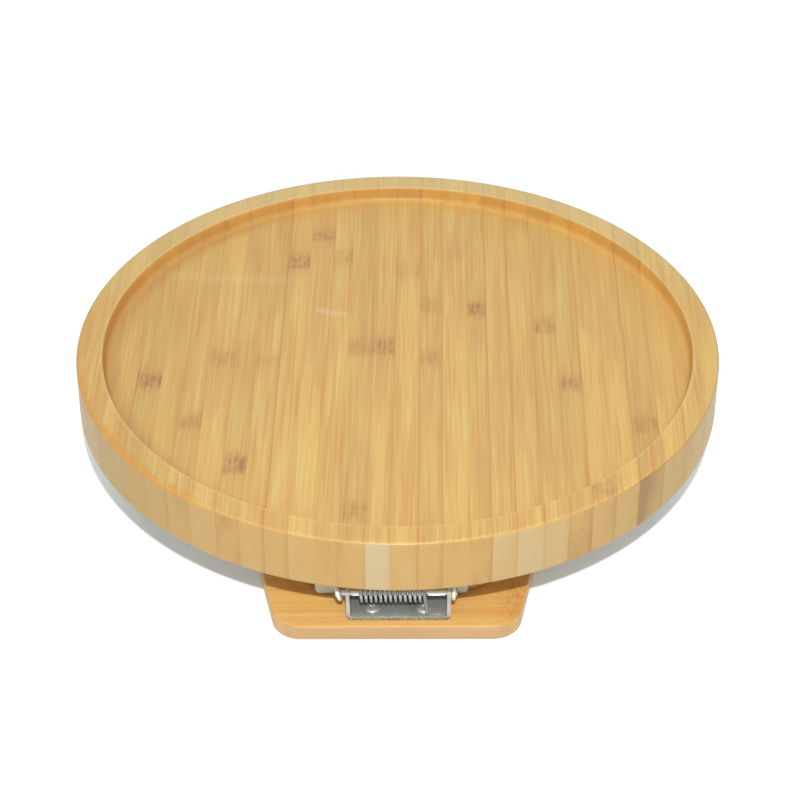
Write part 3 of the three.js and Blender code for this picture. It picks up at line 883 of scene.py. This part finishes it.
# zinc with painted light on the bracket ears beyond the base board's end
ZINC = plated(
    "zinc_sheet", (0.63, 0.75, 0.81), (0.53, 0.64, 0.70), (0.42, 0.56), 0.7, 0.4, metallic=0.4,
    painted_light_beyond=-low("base_board").y + GAP + SHEET + 0.6 * MM)
PIN_STEEL = plated("pin_steel", (0.74, 0.71, 0.64), (0.58, 0.54, 0.48), (0.16, 0.26), 0.3, 0.3)
SPRING_STEEL = plated("spring_steel", (0.49, 0.50, 0.47), (0.36, 0.37, 0.35), (0.20, 0.32), 0.5, 0.3)
SCREW_STEEL = plated(
    "screw_steel", (0.66, 0.65, 0.62), (0.52, 0.51, 0.48), (0.32, 0.44), 0.5, 0.3, metallic=0.7)
BALL_STEEL = plated("ball_steel", (0.80, 0.81, 0.82), (0.70, 0.71, 0.72), (0.06, 0.12), 0.1, 0.1)


def moulded_nylon():
    n = Nodes("nylon")
    mottle = n.noise(n.position(), 900, 3.0, 0.6)
    tint = n.mix(n.range(mottle, 0.3, 0.7), (0.86, 0.84, 0.76), (0.78, 0.75, 0.66))
    n.bump(mottle, 0.2, 0.00005)
    return n.finish(tint, n.range(mottle, 0.3, 0.7, 0.42, 0.55))


NYLON = moulded_nylon()

# ---------------------------------------------------------------- tray and swivel


def make_tray():
    edge, foot, brow = TRAY_EDGE, COVE_RADIUS, RIM_BROW
    beside_edge = edge + 1 * MM
    profile = [
        (0, TRAY_BOTTOM),
        (MIDDLE_RING, TRAY_BOTTOM),
        (TRAY_RADIUS - beside_edge, TRAY_BOTTOM),
        *arc(TRAY_RADIUS - edge, TRAY_BOTTOM + edge, edge, -90, 0, 7),
        (TRAY_RADIUS, TRAY_BOTTOM + beside_edge),
        (TRAY_RADIUS, TRAY_TOP - beside_edge),
        *arc(TRAY_RADIUS - edge, TRAY_TOP - edge, edge, 0, 90, 7),
        (TRAY_RADIUS - beside_edge, TRAY_TOP),
        (RIM_INNER_RADIUS + 2 * brow, TRAY_TOP),
        *arc(RIM_INNER_RADIUS + brow, TRAY_TOP - brow, brow, 90, 180, 6),
        *arc(FLOOR_RADIUS, TRAY_FLOOR + foot, foot, 0, -90, 8),
        (FLOOR_RADIUS - 1 * MM, TRAY_FLOOR),
        (MIDDLE_RING, TRAY_FLOOR),
        (0, TRAY_FLOOR),
    ]
    obj = turned("tray_board", profile, 256, 60)
    obj.rotation_euler.z = STRIP_TILT
    place(obj, "tray", "tray_bamboo", TRAY_BAMBOO, "tray")


def square_radius(angle, half, corner):
    """Distance from the middle to the edge of a square with round corners."""
    c, s = abs(math.cos(angle)), abs(math.sin(angle))
    straight = half / max(c, s)
    x, y = straight * c, straight * s
    inner = half - corner
    if min(x, y) <= inner:
        return straight
    along = inner * (c + s)
    return along + math.sqrt(max(along * along - 2 * inner * inner + corner * corner, 0))


def swivel_plate(name):
    """A pressed plate at z = 0 and up, with a raised middle and a raised ball track."""
    steps = 144
    circle = [(math.cos(2 * math.pi * k / steps), math.sin(2 * math.pi * k / steps)) for k in range(steps)]
    corner_reach = [square_radius(2 * math.pi * k / steps, PLATE_HALF, PLATE_CORNER) for k in range(steps)]
    vertices, faces, rows = [], [], []
    for lift in (0, PLATE_THICKNESS):
        for radius, rise in PLATE_SECTION:
            rows.append(len(vertices))
            vertices += [(radius * MM * c, radius * MM * s, rise * MM + lift) for c, s in circle]
        rows.append(len(vertices))
        vertices += [(reach * c, reach * s, lift) for reach, (c, s) in zip(corner_reach, circle)]
    layers = len(PLATE_SECTION) + 1
    bottom, top = rows[:layers], rows[layers:]
    loop = bottom + top[::-1] + [bottom[0]]
    for a, b in zip(loop, loop[1:]):
        faces += band(a, b, steps)
    return add_mesh(name, vertices, faces, 40)


def make_swivel():
    lower = swivel_plate("swivel_plate_lower")
    lower.data.transform(Matrix.Translation((0, 0, low("swivel_lower_plate").z)))
    place(lower, "base", "zinc_sheet", ZINC, "swivel_lower_plate")
    upper = swivel_plate("swivel_plate_upper")
    lift = Matrix.Translation((0, 0, high("swivel_upper_plate").z))
    upper.data.transform(lift @ Matrix.Rotation(math.pi, 4, "X"))
    place(upper, "tray", "zinc_sheet", ZINC, "swivel_upper_plate")
    for i in range(1, BALL_COUNT + 1):
        node = f"ball_{i}"
        centre = (low(node) + high(node)) / 2
        radius = (high(node).z - low(node).z) / 2
        profile = arc(0, 0, radius, -90, 90, 16)
        profile[0] = (0, -radius)
        profile[-1] = (0, radius)
        obj = turned(f"steel_ball_{i}", profile, 32, 60)
        obj.data.transform(Matrix.Translation(centre))
        place(obj, "base", "ball_steel", BALL_STEEL, node)


# ---------------------------------------------------------------- screws


def screw(name, size, length):
    """A pan-head screw with a cross recess; its seat is at z = 0 and it points down."""
    head_radius, head_height, shank_radius = size
    profile = [
        (0, -length), (shank_radius * 0.5, -length + SCREW_POINT * 0.5),
        (shank_radius, -length + SCREW_POINT), (shank_radius, 0), (head_radius * 0.97, 0),
    ]
    # the dome, as shares of the head's radius and height
    for out, up in ((1, 0.12), (1, 0.38), (0.96, 0.60), (0.86, 0.80), (0.68, 0.93), (0.40, 1), (0, 1)):
        profile.append((head_radius * out, up * head_height))
    obj = turned(name, profile, 40, 50)
    arm, arm_half, depth = head_radius * 0.55, 0.16 * head_radius, head_height * 0.7
    outline = [(-arm, -arm_half), (arm, -arm_half), (arm, arm_half), (-arm, arm_half)]
    for turn in (0, math.pi / 2):
        cutter = add_mesh(
            "cutter",
            [(x * 0.45, y * 0.5, head_height - depth) for x, y in outline]
            + [(x, y, head_height * 1.2) for x, y in outline],
            [[3, 2, 1, 0], [4, 5, 6, 7], [0, 1, 5, 4], [1, 2, 6, 5], [2, 3, 7, 6], [3, 0, 4, 7]],
        )
        cutter.data.transform(Matrix.Rotation(turn, 4, "Z"))
        combine(obj, cutter, "DIFFERENCE")
    return obj


def make_screw(node, piece, body, size, turn, up=True, seat_drop=0.0):
    """Puts a screw where a CAD screw is."""
    a, b = low(node), high(node)
    middle = (a + b) / 2
    head_height = size[1]
    obj = screw(piece, size, b.z - a.z - head_height)
    seat_z = b.z - head_height - seat_drop if up else a.z + head_height + seat_drop
    seat = Matrix.Translation((middle.x, middle.y, seat_z))
    if not up:
        seat = seat @ Matrix.Rotation(math.pi, 4, "X")
    obj.data.transform(seat @ Matrix.Rotation(turn, 4, "Z"))
    place(obj, body, "screw_steel", SCREW_STEEL, node)


def make_screws():
    turns = random.Random(3)

    def put(where, i, body, size, **options):
        turn = turns.uniform(0, 3)
        make_screw(f"{where}_screw_{i}", f"{where}_wood_screw_{i}", body, size, turn, **options)

    for i in range(1, 5):
        put("tray", i, "tray", PLATE_SCREW, up=False, seat_drop=-GAP)
        put("plate", i, "base", PLATE_SCREW, seat_drop=GAP)
    for end in ("front", "rear"):
        for i in (1, 2):
            put(f"{end}_bracket", i, "base", BRACKET_SCREW, seat_drop=GAP)
            put(f"{end}_wing", i, f"{end}_wing", WING_SCREW, seat_drop=GAP)


# ---------------------------------------------------------------- boards


def make_base_board():
    a, b = low("base_board"), high("base_board")
    r = BASE_CORNER
    outline = rounded_outline([(a.x, a.y, r), (b.x, a.y, r), (b.x, b.y, r), (a.x, b.y, r)])
    obj = board("base_plank", outline, a.z, b.z, BASE_EDGE)
    place(obj, "base", "base_bamboo", BASE_BAMBOO, "base_board")


def make_wing(end):
    a, b = low("front_wing"), high("front_wing")
    taper_y = a.y + WING_TAPER_LENGTH
    outline = rounded_outline([
        (a.x + WING_TAPER_WIDTH, a.y, WING_LEVER_CORNER), (b.x - WING_TAPER_WIDTH, a.y, WING_LEVER_CORNER),
        (b.x, taper_y, WING_SHOULDER), (b.x, b.y, WING_INNER_CORNER),
        (a.x, b.y, WING_INNER_CORNER), (a.x, taper_y, WING_SHOULDER),
    ])
    obj = board(f"{end}_clamp_board", outline, a.z, b.z, WING_EDGE)
    place(obj, f"{end}_wing", "wing_bamboo", WING_BAMBOO, f"{end}_wing", end=end)


# ---------------------------------------------------------------- hinge


def make_wing_bracket(end):
    """Folded channel: floor, two bends and two ears that lean out a little."""
    a, b = low("front_wing_bracket"), high("front_wing_bracket")
    floor_z = a.z + SHEET / 2
    bend, ear_radius, lean = BEND_RADIUS, CHANNEL_EAR_RADIUS, CHANNEL_LEAN
    ear_x = b.x - SHEET / 2
    top = PIN_Z + ear_radius
    front, back = a.y, b.y
    draw = random.Random(21)

    def ear_span(z):
        """The ear's front and back edge at a height: straight flanks that run into a round head."""
        if z <= floor_z + bend:
            return front, back
        if z >= PIN_Z:
            half = math.sqrt(max(ear_radius ** 2 - (z - PIN_Z) ** 2, (0.8 * MM) ** 2))
            return PIN_Y - half, PIN_Y + half
        share = (z - floor_z - bend) / (PIN_Z - floor_z - bend)
        return front + (PIN_Y - ear_radius - front) * share, back + (PIN_Y + ear_radius - back) * share

    section = []
    heights = [top - (top - floor_z - bend) * (1 - math.cos(math.pi / 2 * k / 14)) for k in range(14)]
    for z in heights:
        section.append((-ear_x - lean * (z - floor_z), z))
    section += arc(-ear_x + bend, floor_z + bend, bend, 180, 270, BEND_STEPS)
    section += [(-ear_x + bend + (2 * ear_x - 2 * bend) * k / 24, floor_z) for k in range(1, 24)]
    section += arc(ear_x - bend, floor_z + bend, bend, -90, 0, BEND_STEPS)
    for z in reversed(heights):
        section.append((ear_x + 0.3 * lean * (z - floor_z), z))
    rows = []
    for x, z in section:
        y0, y1 = ear_span(z)
        if abs(z - floor_z) < 0.01 * MM:
            y0 += draw.uniform(-0.06, 0.06) * MM
        rows.append([Vector((x, y0 + (y1 - y0) * k / 10, z)) for k in range(11)])
    obj = sheet_metal(f"{end}_channel", rows)
    hole = bar_along_x("cutter", a.x - 5 * MM, b.x + 5 * MM, PIN_Y, PIN_Z, PIN_RADIUS + PIN_CLEARANCE)
    combine(obj, hole, "DIFFERENCE")
    place(obj, f"{end}_wing", "nickel_plate", NICKEL, f"{end}_wing_bracket", end=end)


def make_base_bracket(end):
    """Angle bracket: web with two tabs, a bend, a flange, and two ears."""
    a, b = low("front_base_bracket"), high("front_base_bracket")
    base_end = low("base_board").y
    web_y = base_end - GAP - SHEET / 2
    flange_z = high("base_board").z + GAP + SHEET / 2
    bend = BEND_RADIUS
    low_z = a.z + 0.1 * MM
    columns = 26

    def row(x0, x1, y, z):
        return [Vector((x0 + (x1 - x0) * k / columns, y, z)) for k in range(columns + 1)]

    web_heights = [
        (low_z, a.x + 1.6 * MM, b.x - 1.4 * MM),
        (low_z + 0.4 * MM, a.x + 0.7 * MM, b.x - 0.6 * MM),
        (low_z + 1.2 * MM, a.x + 0.1 * MM, b.x - 0.05 * MM),
        (low_z + 2.2 * MM, a.x, b.x),
        (flange_z - bend - 0.2 * MM, a.x, b.x),
        (flange_z - bend, a.x + 0.1 * MM, b.x - 0.1 * MM),
    ]
    rows = [row(x0, x1, web_y, z) for z, x0, x1 in web_heights]
    flange_half = FLANGE_HALF_WIDTH
    for k in range(1, BEND_STEPS + 1):
        share = k / BEND_STEPS
        angle = math.pi / 2 * share
        x0 = a.x + (-flange_half - a.x) * share
        x1 = b.x + (flange_half - b.x) * share
        y = web_y + bend - bend * math.cos(angle)
        rows.append(row(x0, x1, y, flange_z - bend + bend * math.sin(angle)))
    # the flange's back corners are cut round
    for before_back, narrower in ((11, 0), (6, 0), (2.2, 0), (1, 0.5), (0.2, 1.4), (0, 2)):
        half = flange_half - narrower * MM
        rows.append(row(-half, half, FLANGE_BACK - before_back * MM, flange_z))
    obj = sheet_metal(f"{end}_angle_bracket", rows)

    root = web_y - 0.1 * MM
    outline = [(root, PIN_Z - BRACKET_EAR_DROP), (root, flange_z)]
    outline += arc(PIN_Y, PIN_Z, BRACKET_EAR_RADIUS, 72, 270, 22)
    for side, leaning in ((-1, 0.26), (1, 0.02)):
        inner = BRACKET_CENTRE_X + side * (BRACKET_EAR_INSIDE - 0.1 * MM)
        outer = inner + side * (SHEET + 0.2 * MM)
        ear = standing_plate("ear", outline, min(inner, outer), max(inner, outer))
        for vertex in ear.data.vertices:
            vertex.co.x += side * leaning * (vertex.co.z - PIN_Z)
        bevelled(ear, BRACKET_EAR_EDGE, 4)
        combine(obj, ear, "UNION")
    hole = bar_along_x("cutter", -30 * MM, 30 * MM, PIN_Y, PIN_Z, PIN_RADIUS + PIN_CLEARANCE)
    combine(obj, hole, "DIFFERENCE")
    place(obj, "base", "zinc_sheet", ZINC, f"{end}_base_bracket", end=end)


def make_pin(end):
    a, b = low("front_hinge_pin"), high("front_hinge_pin")
    r = PIN_HEAD_RADIUS
    head = [(0, 0.2), (0.5 * r, 0.25), (0.8 * r, 0.4), (r, 0.6)]
    left = [(radius, a.x + x * MM) for radius, x in head]
    shoulder = left[-1][1] + PIN_HEAD_FLAT
    left += [(r, shoulder), (PIN_RADIUS, shoulder)]
    right = [(radius, a.x + b.x - x) for radius, x in reversed(left)]
    obj = turned(f"{end}_pin", left + right, 40, 50)
    obj.data.transform(Matrix.Translation((0, PIN_Y, PIN_Z)) @ Matrix.Rotation(math.pi / 2, 4, "Y"))
    place(obj, "base", "pin_steel", PIN_STEEL, f"{end}_hinge_pin", end=end)


def make_spring(end):
    """Close-wound torsion spring round the pin, with legs over the base bracket and on the channel floor."""
    floor_top = low("front_wing_bracket").z + SHEET
    start = Vector((COIL_START_X, PIN_Y, PIN_Z + COIL_RADIUS))
    path = []
    for k in range(10):
        left = 1 - k / 10
        path.append(start + Vector((0, BACK_LEG_LENGTH * left, -BACK_LEG_DROP * left ** 2)))
    steps = round(COIL_TURNS * 28)
    for k in range(steps + 1):
        turns = COIL_TURNS * k / steps
        angle = math.pi / 2 + turns * 2 * math.pi
        path.append(Vector((
            COIL_START_X + turns * COIL_PITCH,
            PIN_Y + COIL_RADIUS * math.cos(angle),
            PIN_Z + COIL_RADIUS * math.sin(angle),
        )))
    last = path[-1]
    tip = Vector((last.x + FRONT_LEG_LEAN, FRONT_LEG_TIP_Y, floor_top + WIRE_RADIUS + FRONT_LEG_LIFT))
    path += [last.lerp(tip, k / 8) for k in range(1, 9)]
    obj = swept(f"{end}_torsion_spring", path, WIRE_RADIUS)
    place(obj, None, "spring_steel", SPRING_STEEL, f"{end}_spring", end=end)
    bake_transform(obj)


# ---------------------------------------------------------------- the object

make_tray()
make_swivel()
make_base_board()
for clamp in ("front", "rear"):
    make_wing(clamp)
    make_wing_bracket(clamp)
    make_base_bracket(clamp)
    make_pin(clamp)
    make_spring(clamp)
make_screws()

for cad_node, finish in (("ball_cage", NYLON), ("centre_rivet", ZINC)):
    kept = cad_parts[cad_node]
    kept.data.materials.clear()
    kept.data.materials.append(finish)

# ---------------------------------------------------------------- floor, light and camera


def make_floor():
    z = cad_box[0][2]
    corners = [(x * FLOOR_HALF, y * FLOOR_HALF, z) for x, y in ((-1, -1), (1, -1), (1, 1), (-1, 1))]
    obj = add_mesh("floor", corners, [[0, 1, 2, 3]])
    n = Nodes("floor_paper")
    x, y, _ = n.split(n.position())
    distance = n.from_axis(x, y)
    speckle = n.noise(n.position(), 40, 2.0)
    tint = n.mix(speckle, (0.925, 0.955, 0.975), (0.935, 0.965, 0.985))
    # painted light: the floor glows, brighter far from the tray, faintly blue near it, which tints the tray's
    # shadow, and bluish at both sides, which fades the shadow's ends
    glow = n.mix(n.range(distance, 0.15, 0.50), (0.030, 0.070, 0.110), (0.23, 0.22, 0.21))
    glow = n.mix(n.range(n.absolute(x), 0.095, 0.122), glow, (0.19, 0.23, 0.26))
    n.feed(n.shader.inputs["Emission Color"], glow)
    obj.data.materials.append(n.finish(tint, 0.8, Emission_Strength=1.0))


def make_light():
    data = bpy.data.lights.new("key", "AREA")
    data.shape = "DISK"
    data.size = LAMP_SIZE
    data.energy = LAMP_POWER
    lamp = bpy.data.objects.new("key", data)
    bpy.context.scene.collection.objects.link(lamp)
    lamp.location = LAMP_PLACE
    lamp.rotation_euler = (Vector(LAMP_AIM) - Vector(LAMP_PLACE)).to_track_quat("-Z", "Y").to_euler()
    world = bpy.data.worlds.new("studio")
    bpy.context.scene.world = world
    world.use_nodes = True
    sky = world.node_tree.nodes["Background"]
    sky.inputs["Color"].default_value = SKY_COLOUR
    sky.inputs["Strength"].default_value = SKY_STRENGTH


def make_camera():
    data = bpy.data.cameras.new("camera")
    data.sensor_width = 36
    data.lens = CAMERA_LENS
    data.clip_start = 0.01
    camera = bpy.data.objects.new("camera", data)
    bpy.context.scene.collection.objects.link(camera)
    camera.location = CAMERA_PLACE
    camera.rotation_euler = (math.pi / 2 - CAMERA_PITCH, 0, -CAMERA_YAW)
    bpy.context.scene.camera = camera


make_floor()
make_light()
make_camera()
bpy.context.scene.view_settings.view_transform = "Standard"
